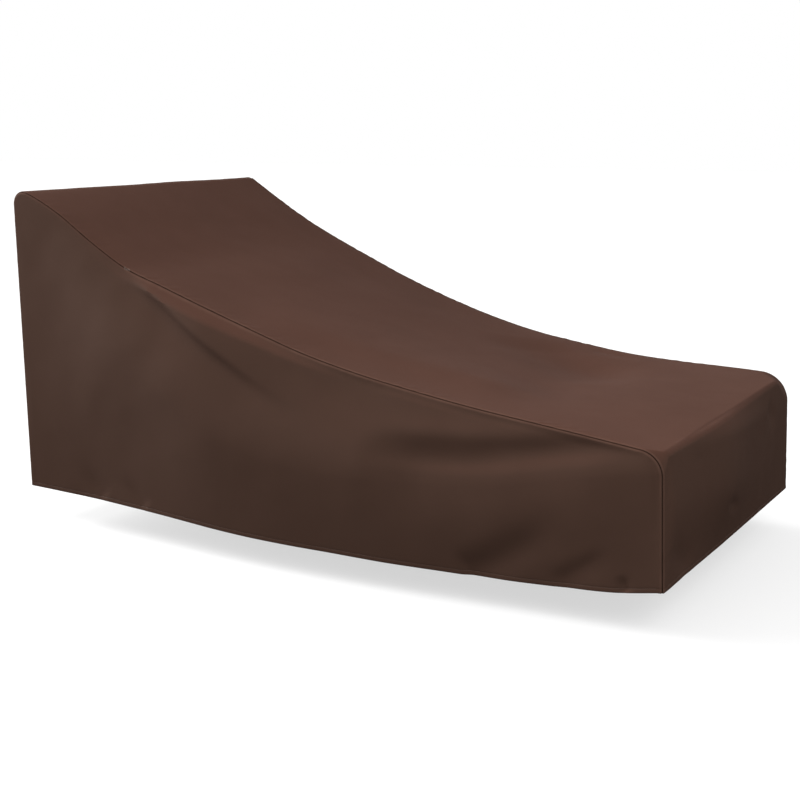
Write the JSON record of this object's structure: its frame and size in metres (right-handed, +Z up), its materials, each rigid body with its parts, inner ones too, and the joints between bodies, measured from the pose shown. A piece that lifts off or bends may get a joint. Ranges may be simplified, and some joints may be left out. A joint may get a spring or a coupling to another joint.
{
  "type": "lounge chair cover",
  "caption": "Fitted cloth cover for a chaise lounge: a hollow, open below, with a raised head end that slopes down to a low seat.",
  "frame": {"origin": "on the underside of the top, at the middle of the cover's length and width, where the lounge carries it", "axes": "+X from the head end to the foot end, +Y from the near side to the far side, +Z up"},
  "size_m": [1.6171, 0.9979, 0.7328],
  "materials": {
    "cloth": "matte dark brown coated woven polyester"
  },
  "bodies": {
    "root": {"centre_panel": "cloth", "side_panel_near": "cloth", "side_panel_far": "cloth"}
  },
  "joints": []
}
